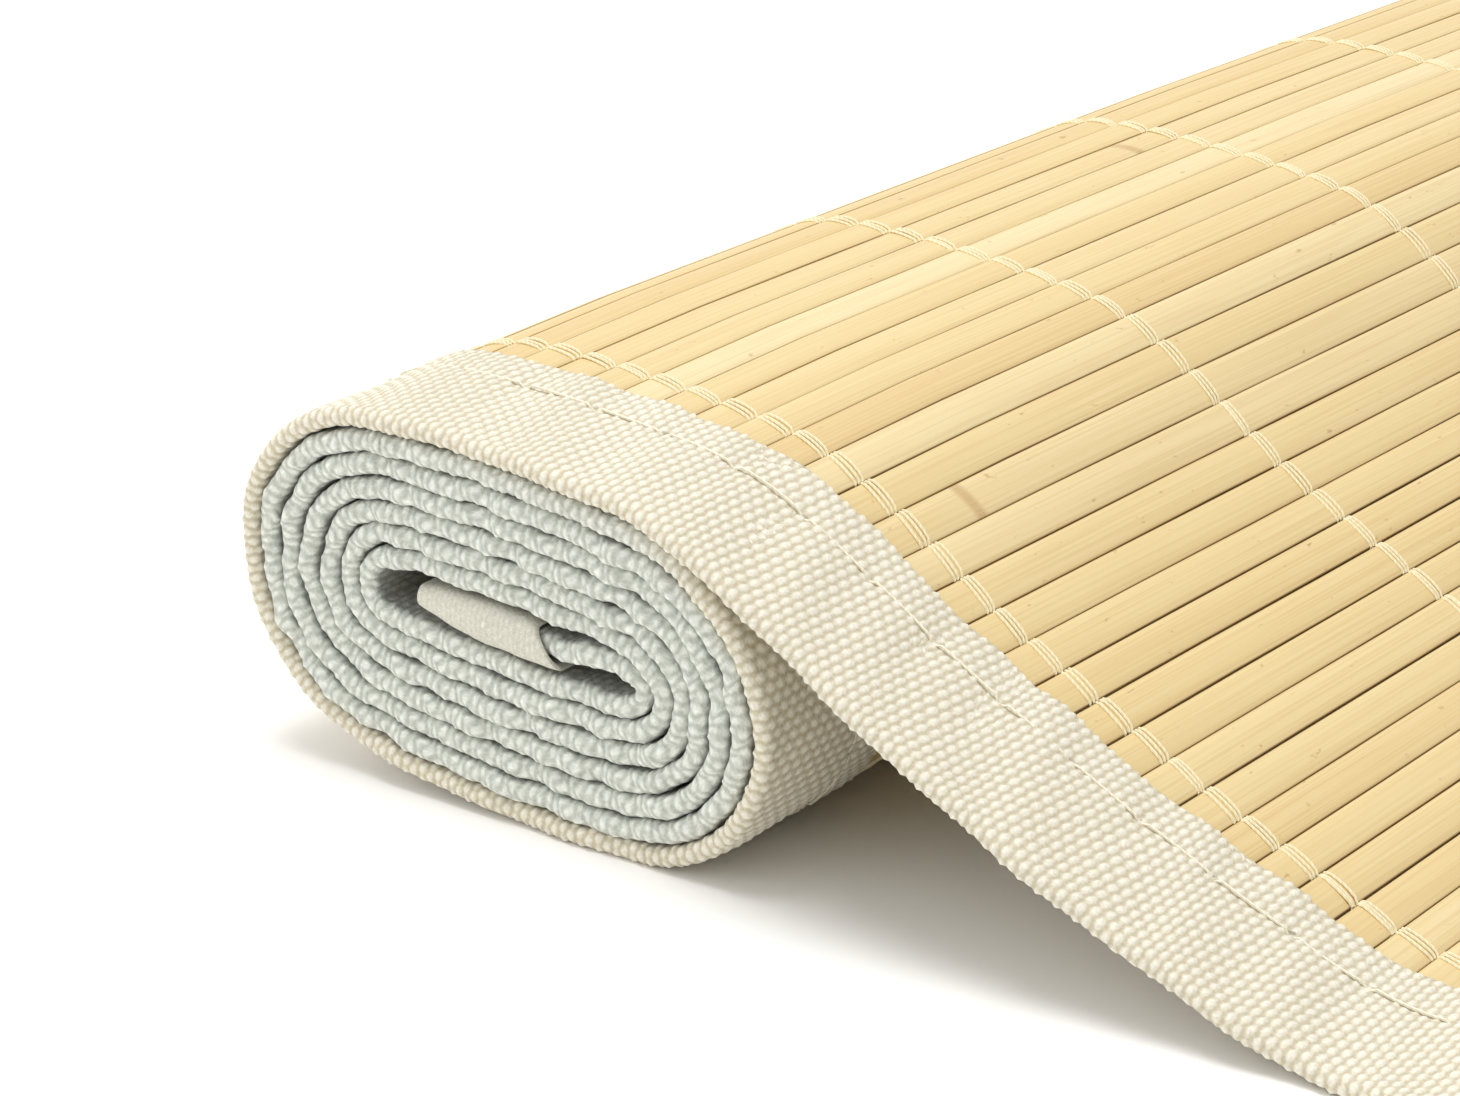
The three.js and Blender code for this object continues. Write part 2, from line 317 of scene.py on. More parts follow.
@dataclass(frozen=True)
class TapeFinish:
    """Plain-woven cotton tape, unbleached and matt: ribs of staggered round bumps, with painted shade between
    the ribs.
    """

    name: str = "cotton_tape_plain_woven"
    warm: tuple[str, str, str] = ("#ccc2a9", "#e6dfca", "#eee9d9")  # valley, flank and crest of a rib; the darker valley and lighter crest are painted shade and light
    shaded_tints: tuple[str, str, str] = ("#c3c6bb", "#dadcd2", "#e9ebe2")  # the same on the folds in the roll, cooler and greyer: painted shade
    tint_at: tuple[float, float, float] = (0.0, 0.36, 0.8)  # height of the weave for each of the three
    # painted shade in the needle holes
    hole_shade: str = "#74664c"
    ior: float = 1.5
    roughness: float = 0.92
    sheen: float = 0.12
    specular: float = 0.2
    hole_spacing: float = 9.7  # mm along the seam
    hole_reach: Pair = (0.26, 0.62)  # mm from its middle in which a hole fades
    hole_squash: float = 1.6  # how much narrower a hole is across the seam
    hole_share: float = 0.85
    yarn: float = 0.34  # mm across one of a yarn's plies
    yarn_light: Pair = (0.86, 1.07)  # darkest and lightest ply
    yarn_relief: float = 0.6
    lump: float = 0.85  # mm across the lumps that the yarns make where the tape is folded
    lump_light: Pair = (0.88, 1.12)
    lump_relief: float = 2.4
    noise_detail: float = 2.0
    noise_span: Pair = (0.3, 0.7)
    crevice_shade: float = 0.5  # share by which painted shade darkens the creases between the turns
    worn_share: float = 0.6  # how far the weave is pressed flat where the tape is worn smooth
    worn_height: float = 0.6
    relief: float = 0.5
    relief_depth: float = 0.25

    def made(self) -> bpy.types.Material:
        """Builds the material on the tape's own coordinates, mm along it and round its fold."""
        shading = Shading(self.name)
        weave, seam = shading.attribute("weave"), shading.attribute("seam")
        along, way, grey = shading.split(weave)
        worn = shading.number("MULTIPLY", shading.split(seam)[2], self.worn_share)
        # The crease attribute carries the painted crease shade and each stitch's pull
        depth, pull, _ = shading.split(shading.attribute("crease"))
        height = shading.blended(worn, self.woven(shading, along, way), self.worn_height)
        # Painted shade: the folds inside the roll take cooler, greyer tints than the tape's outer face
        warm, shaded_tints = (shading.ramp(height, *zip(self.tint_at, tints)) for tints in (self.warm, self.shaded_tints))
        tint = shading.mixed(grey, warm, shaded_tints)
        # Plies show as fine fuzz, and on the folds the yarns bunch up in lumps, which break up the ribs
        plies = shading.noise(weave, self.yarn, self.yarn, self.noise_detail)
        bunched = shading.noise(weave, self.lump, self.lump, self.noise_detail)
        lumps = shading.blended(grey, 0.5, bunched)
        for noise, light in ((plies, self.yarn_light), (lumps, self.lump_light)):
            tint = shading.vector("MULTIPLY", tint, shading.ranged(noise, self.noise_span, light))
        # The turns press on each other, and painted shade darkens the creases between them
        shade = shading.ranged(depth, (0.0, 1.0), (1.0, 1 - self.crevice_shade))
        tint = shading.vector("MULTIPLY", tint, shade)
        # Painted shade in each needle hole, deeper where its stitch is pulled hard
        tint = shading.mixed(self.pierced(shading, seam, pull), tint, linear(self.hole_shade))
        relief = shading.number("MULTIPLY_ADD", plies, self.yarn_relief, height)
        relief = shading.number("MULTIPLY_ADD", lumps, self.lump_relief, relief)
        return shading.surface({
            "Base Color": tint,
            "Roughness": self.roughness,
            "IOR": self.ior,
            "Normal": shading.bump(relief, self.relief, self.relief_depth),
            "Sheen Weight": self.sheen,
            "Specular IOR Level": self.specular,
        })

    @staticmethod
    def woven(shading: Shading, along: Socket, way: Socket) -> Socket:
        """Works out the weave's height, the same as in the tape's mesh.

        Args:
            shading: the material.
            along: mm along the tape.
            way: mm round its fold.

        Returns:
            Height of the ribs and of the bumps along them.
        """
        rib = shading.number("SINE", shading.number("MULTIPLY", along, math.pi / RIB_PITCH))
        bump = shading.number("COSINE", shading.number("MULTIPLY", way, math.pi / BUMP_PITCH))
        even = shading.number("MULTIPLY", shading.number("MULTIPLY", rib, rib), RIB_SHARE)
        return shading.number("MULTIPLY_ADD", shading.number("MULTIPLY", rib, bump), 1 - RIB_SHARE, even)

    def pierced(self, shading: Shading, seam: Socket, pull: Socket) -> Socket:
        """Finds the needle holes, each a small dot of painted shade on the seam.

        Args:
            shading: the material.
            seam: mm along the seam and beside it.
            pull: how hard each stitch is pulled, which opens its hole.

        Returns:
            How much painted shade a hole puts on the tape.
        """
        far_off = 1000.0
        half = self.hole_spacing / 2
        wrapped = shading.vector("WRAP", seam, (half, far_off, far_off), (-half, -far_off, -far_off))
        flat = shading.vector("MULTIPLY", wrapped, (1.0, self.hole_squash, 0.0))
        away = add_node(shading.tree, "ShaderNodeVectorMath", {0: flat}, operation="LENGTH").outputs["Value"]
        dot = shading.ranged(away, self.hole_reach, (self.hole_share, 0.0), soft=True)
        return shading.number("MULTIPLY", dot, pull)


@dataclass(frozen=True)
class ThreadFinish:
    """Twisted cotton thread: its plies wind round it and give it a soft broken edge."""

    name: str
    light: str
    # painted shade in the grooves between the plies
    groove_shade: str
    ior: float = 1.5
    roughness: float = 0.85
    sheen: float = 0.1
    twist: float = 0.8  # mm along the thread from one ply to the next, as coarse as it needs to show
    light_from: float = 0.7
    relief: float = 0.2
    relief_depth: float = 0.08

    def made(self) -> bpy.types.Material:
        """Builds the material on the thread's own coordinates, mm along it and the share of the way round."""
        shading = Shading(self.name)
        along, round_it, _ = shading.split(shading.attribute("ply"))
        twisted = shading.number("MULTIPLY", along, FULL_TURN / self.twist)
        wave = shading.number("SINE", shading.number("MULTIPLY_ADD", round_it, FULL_TURN, twisted))
        # The dark half of each twist is painted shade along the grooves between the plies
        return shading.surface({
            "Base Color": shading.ramp(wave, (0.0, self.groove_shade), (self.light_from, self.light)),
            "Roughness": self.roughness,
            "IOR": self.ior,
            "Normal": shading.bump(wave, self.relief, self.relief_depth),
            "Sheen Weight": self.sheen,
        })


@dataclass
class MeshParts:
    """Vertices, faces and per-vertex coordinates of one joined mesh, gathered piece by piece."""

    points: list[Array] = field(default_factory=list)
    quads: list[Array] = field(default_factory=list)
    caps: list[Array] = field(default_factory=list)
    values: dict[str, list[Array]] = field(default_factory=dict)
    count: int = 0

    def add(self, points: Array, quads: Array, caps: Sequence[Array], **values: Array) -> None:
        """Adds one closed shell.

        Args:
            points: its vertices in metres.
            quads: its four-sided faces, counted from its own first vertex.
            caps: its end faces, each a ring of vertex numbers.
            values: a coordinate of each vertex, by the attribute's name.
        """
        self.points.append(points)
        self.quads.append(quads + self.count)
        self.caps.extend(np.asarray(cap) + self.count for cap in caps)
        for name, value in values.items():
            self.values.setdefault(name, []).append(value)
        self.count += len(points)

    def built(self, name: str, material: bpy.types.Material, sharp: float = 50.0) -> bpy.types.Object:
        """Makes the object of everything that was added.

        Args:
            name: the piece's name.
            material: its finish.
            sharp: angle in degrees past which an edge stays sharp.

        Returns:
            The new object, in the scene.
        """
        points = np.concatenate(self.points)
        quads = np.concatenate(self.quads)
        mesh = bpy.data.meshes.new(name)
        loops = np.concatenate([quads.ravel(), *self.caps])
        sizes = np.concatenate([np.full(len(quads), 4), [len(cap) for cap in self.caps]]).astype(int)
        starts = np.concatenate([[0], np.cumsum(sizes)[:-1]])
        mesh.vertices.add(len(points))
        mesh.vertices.foreach_set("co", points.astype(np.float32).ravel())
        mesh.loops.add(len(loops))
        mesh.loops.foreach_set("vertex_index", loops.astype(np.int32))
        mesh.polygons.add(len(sizes))
        mesh.polygons.foreach_set("loop_start", starts.astype(np.int32))
        mesh.polygons.foreach_set("use_smooth", np.ones(len(sizes), bool))
        mesh.update(calc_edges=True)
        mesh.validate()
        for key, value in self.values.items():
            stored = mesh.attributes.new(key, "FLOAT_VECTOR", "POINT")
            stored.data.foreach_set("vector", np.concatenate(value).astype(np.float32).ravel())
        mesh.set_sharp_from_angle(angle=math.radians(sharp))
        mesh.materials.append(material)
        made = bpy.data.objects.new(name, mesh)
        bpy.context.scene.collection.objects.link(made)
        LOG.info("%s: %d triangles", name, (sizes - 2).sum())
        return made


def lattice(rows: int, columns: int) -> Array:
    """Quads between neighbouring closed rings of vertices.

    Args:
        rows: number of rings.
        columns: vertices in each ring.

    Returns:
        Vertex numbers, four to a face.
    """
    row, column = np.meshgrid(np.arange(rows - 1), np.arange(columns), indexing="ij")
    a = (row * columns + column).ravel()
    b = (row * columns + (column + 1) % columns).ravel()
    return np.stack([a, b, b + columns, a + columns], axis=1)


def shell(parts: MeshParts, rings: Array, flip: bool = False, **values: Array) -> None:
    """Adds a closed tube of equal rings, with both ends capped.

    Args:
        parts: the mesh that it goes into.
        rings: vertices by ring and place in the ring, in metres.
        flip: whether the rings run the other way round.
        values: attributes by ring and place in the ring.
    """
    rows, columns = rings.shape[:2]
    quads = lattice(rows, columns)
    start = np.arange(columns)[::-1]
    end = np.arange(columns) + (rows - 1) * columns
    if flip:
        quads = quads[:, ::-1]
        start, end = start[::-1], end[::-1]
    flat = {key: value.reshape(-1, 3) for key, value in values.items()}
    parts.add(rings.reshape(-1, 3), quads, [start, end], **flat)


@dataclass
class MidLine:
    """The mat's mid line in mm, from its loose outer end down the slope, round seven turns, to the core."""

    turns: int = 7
    turn_pitch: float = 2.73
    core_room: float = 1.4
    core_half_length: float = 16.6
    core_half_height: float = 1.0
    roll_tilt: float = math.radians(-4.8)
    roll_centre_height: float = 21.1
    lean: float = 0.055
    lean_direction: float = math.radians(-22)
    telescope: float = 0.25
    leg_height: float = 0.68
    leg_end: float = -13.0
    tail_length: float = 19.0
    leaves_roll_at: float = math.radians(78)
    rest_height: float = 1.15
    slope_knots: tuple = ((52.6, 22.6, -0.51), (82.3, 8.4, -0.39), (107.0, 1.15, 0.0))
    flat_end: float = 108.0
    loose_steps: int = 60  # between two knots
    flat_steps: int = 30
    leg_steps: int = 40
    wound_step: float = math.radians(0.25)
    wound_short: float = math.radians(7)  # how much less than whole turns the roll is wound
    step: float = 0.25  # between the sampled points
    evened: int = 7  # points over which the direction is evened out
    swell_y: tuple = (0.0, 45.0, 171.0, 300.0)
    swell_rise: tuple = (0.3, 2.3, 4.1, 4.7)
    roll_top: float = 42.6
    swell_fades: tuple = (22.0, 50.0)
    lowest: float = 0.02  # the floor presses flat what would reach below this

    def __post_init__(self) -> None:
        """Samples the line, its normals and each point's distance from the outer end."""
        x, z, turn = self.traced()
        z = np.maximum(z, self.rest_height)
        rough = np.concatenate([[0], np.cumsum(np.hypot(np.diff(x), np.diff(z)))])
        self.length = float(rough[-1])
        self.s = np.arange(0, self.length, self.step)
        self.x, self.z, self.turn = (np.interp(self.s, rough, row) for row in (x, z, turn))
        weights = np.ones(self.evened) / self.evened
        tangents = []
        for row in (self.x, self.z):
            slope = np.gradient(row, self.step)
            padded = np.pad(slope, self.evened // 2, mode="edge")
            tangents.append(np.convolve(padded, weights, mode="valid"))
        size = np.hypot(*tangents)
        self.nx = tangents[1] / size
        self.nz = -tangents[0] / size
        fading = 1 - smooth_step(self.x, *self.swell_fades)
        self.swelling = np.where(self.s < self.where_x(self.swell_fades[0]), fading, 1.0)
        low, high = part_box("binding_tape_near")
        self.shift_x = high[0] / MM - (self.slope_knots[-1][0] + self.flat_end)
        self.shift_y = low[1] / MM

    def placed(self, x: Any, z: Any) -> tuple[Any, Any]:
        """Puts points of the core's frame in the roll's place."""
        c, s = math.cos(self.roll_tilt), math.sin(self.roll_tilt)
        return x * c - z * s, self.roll_centre_height + x * s + z * c

    def wound(self, angle: Array) -> tuple[Array, Array, Array]:
        """Points of the wound line whose outward normal has each winding angle.

        Args:
            angle: winding angles in radians.

        Returns:
            x, z and turn of each point.
        """
        c, s = np.cos(angle), np.sin(angle)
        turn = (angle - TOP) / FULL_TURN
        lean = 1 + self.lean * np.cos(2 * (angle - self.lean_direction))
        distance = (self.core_room + self.turn_pitch * (self.turns - turn)) * lean
        support = np.hypot(self.core_half_length * c, self.core_half_height * s)
        x = self.core_half_length ** 2 * c / support + distance * c
        z = self.core_half_height ** 2 * s / support + distance * s
        return (*self.placed(x, z), np.maximum(turn, 0))

    @staticmethod
    def curve(a: Sequence[float], b: Sequence[float], share: Array) -> tuple[Array, Array]:
        """Smooth line between two knots of x, z and slope, at shares of the way."""
        run = b[0] - a[0]
        square, cube = share ** 2, share ** 3
        ends = (2 * cube - 3 * square + 1) * a[1] + (3 * square - 2 * cube) * b[1]
        slopes = (cube - 2 * square + share) * a[2] + (cube - square) * b[2]
        return a[0] + run * share, ends + run * slopes

    def traced(self) -> tuple[Array, Array, Array]:
        """Finely traced points of the whole line.

        Returns:
            x, z and turn of each point, from the outer end inward.
        """
        nudge = self.wound_step
        meet_x, meet_z, _ = self.wound(np.array([self.leaves_roll_at, self.leaves_roll_at + nudge]))
        meet = (meet_x[0], meet_z[0], (meet_z[1] - meet_z[0]) / (meet_x[1] - meet_x[0]))
        knots = [meet, *self.slope_knots]
        shares = np.linspace(0, 1, self.loose_steps, endpoint=False)
        loose = [self.curve(a, b, shares) for a, b in zip(knots, knots[1:])]
        touch = knots[-1][0]
        flat = np.linspace(touch, touch + self.flat_end, self.flat_steps)
        resting = np.full(self.flat_steps, self.rest_height)
        loose_x = np.concatenate([*(x for x, _ in loose), flat])[::-1]
        loose_z = np.concatenate([*(z for _, z in loose), resting])[::-1]
        last = TOP + self.turns * FULL_TURN - self.wound_short
        wound_x, wound_z, wound_turn = self.wound(np.arange(self.leaves_roll_at + nudge, last, nudge))
        leg_start = self.leg_end + self.tail_length
        leg_x, leg_z = self.placed(np.linspace(leg_start, self.leg_end, self.leg_steps), self.leg_height)
        leg_slope = (leg_z[-1] - leg_z[0]) / (leg_x[-1] - leg_x[0])
        wound_slope = (wound_z[-1] - wound_z[-2]) / (wound_x[-1] - wound_x[-2])
        bridge_x, bridge_z = self.curve(
            (wound_x[-1], wound_z[-1], wound_slope), (leg_x[0], leg_z[0], leg_slope), shares[1:],
        )
        x = np.concatenate([loose_x, wound_x, bridge_x, leg_x])
        z = np.concatenate([loose_z, wound_z, bridge_z, leg_z])
        inner = np.full(len(bridge_x) + len(leg_x), float(self.turns))
        turn = np.concatenate([np.zeros(len(loose_x)), wound_turn, inner])
        return x, z, turn

    def where_turn(self, turn: float) -> float:
        """Distance from the outer end at which the line reaches a turn."""
        return float(self.s[np.argmax(self.turn >= turn)])

    def where_x(self, x: float) -> float:
        """Distance from the outer end at which the loose end reaches an x."""
        return float(self.s[np.argmax(self.x <= x)])

    def rise(self, along: Array, y: Array) -> Array:
        """Height in mm that the roll's swell towards the far edge adds at a place on the mat."""
        share = (np.interp(along, self.s, self.z) - self.rest_height) / (self.roll_top - self.rest_height)
        return np.interp(y, self.swell_y, self.swell_rise) * share * np.interp(along, self.s, self.swelling)

    def points(self, along: Array, off: Array, y: Array) -> Array:
        """Points beside the line, in the part's frame.

        Args:
            along: distances from the outer end, in mm.
            off: distances from the line along its outward normal.
            y: distances along the slats from the near edge.

        Returns:
            Points in metres, with the shape of the arguments.
        """
        at = [np.interp(along, self.s, row) for row in (self.x, self.z, self.nx, self.nz, self.turn)]
        x = at[0] + at[2] * off + self.shift_x
        z = np.maximum(at[1] + at[3] * off + self.rise(along, y), self.lowest)
        across = y + self.telescope * at[4] + self.shift_y
        return np.stack(np.broadcast_arrays(x, across, z), axis=-1) * MM


@dataclass
class SlatPanel:
    """The bamboo slats, each a thin crowned strip with its own width, tilt, tone and cane nodes."""

    line: MidLine
    pitch: float = 5.0
    gap: float = 0.14
    inset: float = 1.3
    mat_width: float = 300.0
    half_thickness: float = 0.5
    crown: float = 0.24
    edge_round: float = 0.17
    under_round: float = 0.04
    stations: int = 13
    tight_until: float = 14.0  # x up to which the roll's tension closes the gaps
    loose_from: float = 48.0
    tight_share: float = 0.25
    flat_limit: float = 0.22  # sag over which a slat follows the bend instead of staying flat
    sag_share: float = 0.6  # how far a flat slat is lifted from its chord towards the bend
    width_range: Pair = (-0.09, 0.03)  # change to half a slat's width
    spreads: tuple[float, float, float] = (0.022, 0.035, 0.045)  # of each slat's tilt, lift and bow
    wander: Wave = Wave(0.04, (90, 41), 1000)  # of the slats' edges
    tone: Pair = (0.42, 0.16)  # middle and spread, from pale at 0 to golden at 1
    scar_room: float = 4.5  # a cane node falls within this many times the mat's width
    grain_room: float = 500.0  # mm of bamboo out of which a slat's grain is taken
    grain_step: float = 3.7
    seed: int = 11

    def profile(self) -> Array:
        """Section of a slat of half-width 1: shares across, heights in mm."""
        top, r = self.half_thickness, self.edge_round
        side = 1 - r / ((self.pitch - self.gap) / 2)
        right = [
            (side, self.under_round - top),
            (1, r - top),
            (1, top - r - self.crown * 0.8),
            (side, top - self.crown),
            (0.66, top - 0.42 * self.crown),
            (0.33, top - 0.1 * self.crown),
        ]
        left = [(-across, height) for across, height in reversed(right)]
        return np.array([left[-1], (0, -top), *right, (0, top), *left[:-1]])

    def build(self, material: bpy.types.Material) -> bpy.types.Object:
        """Builds all the slats as one joined mesh.

        Args:
            material: their finish.

        Returns:
            The slats' object.
        """
        rng = np.random.default_rng(self.seed)
        parts = MeshParts()
        shares, heights = self.profile().T[:, None, :]
        y = np.linspace(self.inset, self.mat_width - self.inset, self.stations)[:, None]
        for slat in range(int(self.line.length // self.pitch)):
            middle = (slat + 0.5) * self.pitch
            loose = self.looseness(middle)
            half = (self.pitch - self.gap * loose) / 2 + rng.uniform(*self.width_range) * loose
            tilt, lift, bow = (rng.normal(0, spread) for spread in self.spreads)
            tone = np.clip(rng.normal(*self.tone), 0, 1)
            to_scar = y - rng.uniform(0, self.scar_room) * self.mat_width
            offset = rng.uniform(0, self.grain_room, 2)
            sideways = bow * np.sin(math.pi * y / self.mat_width) + self.wander.at(y, slat)
            across = shares * half + sideways
            off = heights + lift + tilt * shares * half
            grain = (across + offset[0], y + offset[1], slat * self.grain_step)
            marks = (tone, to_scar, np.abs(shares))
            shell(
                parts, self.bent(middle, half, across, off, y),
                grain=np.stack(np.broadcast_arrays(*grain), axis=-1),
                marks=np.stack(np.broadcast_arrays(*marks), axis=-1),
            )
        made = parts.built("bamboo_slats", material, sharp=65)
        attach(made, BODY)
        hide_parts("slat_panel")
        return made

    def looseness(self, middle: float) -> float:
        """How far the gap beside a slat stands open: fully on the loose sheet, hardly at all on the roll.

        Args:
            middle: the slat's distance from the outer end.

        Returns:
            Share of the full gap.
        """
        if middle > self.line.where_x(self.tight_until):
            return self.tight_share
        x = float(np.interp(middle, self.line.s, self.line.x))
        opened = float(smooth_step(x, self.tight_until, self.loose_from))
        return self.tight_share + (1 - self.tight_share) * opened

    def bent(self, middle: float, half: float, across: Array, off: Array, y: Array) -> Array:
        """Lays one slat on the line: flat where the bend lets it, and along the bend in the tight turns.

        Args:
            middle: the slat's distance from the outer end.
            half: half its width.
            across: places across the slat, from its middle.
            off: heights over the mid line.
            y: places along the slat.

        Returns:
            Vertices by place along the slat and place in its section.
        """
        along = np.array([middle - half, middle, middle + half])
        start, crest, end = self.line.points(along, np.zeros(3), np.zeros(3))
        chord = (end - start) / (2 * half)
        centre = (start + end) / 2
        sag = np.linalg.norm(crest - centre) / MM
        if sag > self.flat_limit:
            return self.line.points(middle + across, off, y)
        normal = np.array([chord[2], 0, -chord[0]]) / np.linalg.norm(chord) * MM
        centre = centre + normal * sag * self.sag_share * np.sign(np.dot(crest - centre, normal))
        rings = centre + across[..., None] * chord + off[..., None] * normal
        rings[..., 1] += y * MM
        rings[..., 2] += (self.line.rise(middle + across, y) - self.line.rise(middle, 0.0)) * MM
        return rings


@dataclass
class ThreadRow:
    """One row of warp threads: three strands over each slat, pinched where they dive between the slats."""

    line: MidLine
    panel: SlatPanel
    number: int
    y: float
    strands: int = 3
    radius: float = 0.18
    spread: float = 0.76  # between neighbouring strands on a slat's crown
    pinch: float = 0.58  # the same in a gap
    slant: float = 0.5  # half of what a strand moves along the slat on its way over it
    dive_length: float = 0.55  # mm beside a gap in which a strand dives into it
    dive_height: float = 0.1  # over the mid line, in the gap
    uneven_spread: float = 0.12
    uneven_place: float = 0.06
    sides: int = 6
    steps: int = 8
    coarse: tuple[int, int] = (3, 4)  # sides and steps where no thread can be seen
    inner_from: float = 1.15  # turn from which none can
    seed: int = 70

    def build(self, material: bpy.types.Material) -> bpy.types.Object:
        """Builds the row as one joined mesh.

        Args:
            material: the threads' finish.

        Returns:
            The row's object.
        """
        parts = MeshParts()
        rng = np.random.default_rng(self.seed + self.number)
        hidden = self.line.where_turn(self.inner_from)
        leaves = self.line.where_x(0)
        for slat in range(int(self.line.length // self.panel.pitch)):
            start = slat * self.panel.pitch
            for face in Face:
                seen = start <= (leaves if face is Face.INNER else hidden)
                sides, steps = (self.sides, self.steps) if seen else self.coarse
                for strand in range(self.strands):
                    self.strand(parts, rng, start, strand, face, sides, steps)
        made = parts.built(f"thread_row_{self.number}", material)
        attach(made, BODY)
        return made

    def strand(
        self, parts: MeshParts, rng: np.random.Generator, start: float, strand: int, face: Face,
        sides: int, steps: int,
    ) -> None:
        """Adds one strand over one slat.

        Args:
            parts: the row's mesh.
            rng: the row's random numbers.
            start: distance of the gap before the slat.
            strand: number of the strand, across the row.
            face: face of the mat that it lies on.
            sides: sides of its section.
            steps: steps along it.
        """
        share = np.linspace(0, 1, steps + 1)
        apart = self.pinch + (self.spread - self.pinch) * np.sin(math.pi * share ** 0.8) ** 0.7
        apart = apart * (1 + rng.normal(0, self.uneven_spread))
        slant = self.slant * face.value * (2 * share - 1)
        y = self.y + (strand - (self.strands - 1) / 2) * apart + slant + rng.normal(0, self.uneven_place)
        along = start + share * self.panel.pitch
        edge = np.clip(np.minimum(share, 1 - share) * self.panel.pitch / self.dive_length, 0, 1)
        dive = np.sqrt(1 - (1 - edge) ** 2)
        top = self.panel.half_thickness + self.radius * 0.5
        height = self.dive_height + (top - self.dive_height) * dive
        height = height - self.panel.crown * (2 * share - 1) ** 2 * dive
        thread(parts, self.line, along, height * face.value, y, self.radius, sides)


def thread(
    parts: MeshParts, line: MidLine, along: Array, off: Array, y: Array,
    radius: float, sides: int, inward: int = 1,
) -> None:
    """Adds one length of thread, with the coordinates that its finish reads.

    Args:
        parts: the mesh that it goes into.
        line: the mat's mid line.
        along: distances of its middle from the outer end.
        off: heights of its middle over the mid line.
        y: places of its middle along the slats.
        radius: its radius in mm.
        sides: sides of its section.
        inward: which way along the slats its section is turned.
    """
    turn = (FULL_TURN * np.arange(sides) / sides)[None, :]
    along = along[:, None]
    ring_y = y[:, None] + inward * radius * np.cos(turn)
    rings = line.points(along, off[:, None] + radius * np.sin(turn), ring_y)
    ply = np.stack(np.broadcast_arrays(along, turn / FULL_TURN, 0.0), axis=-1)
    shell(parts, rings, flip=inward > 0, ply=ply)


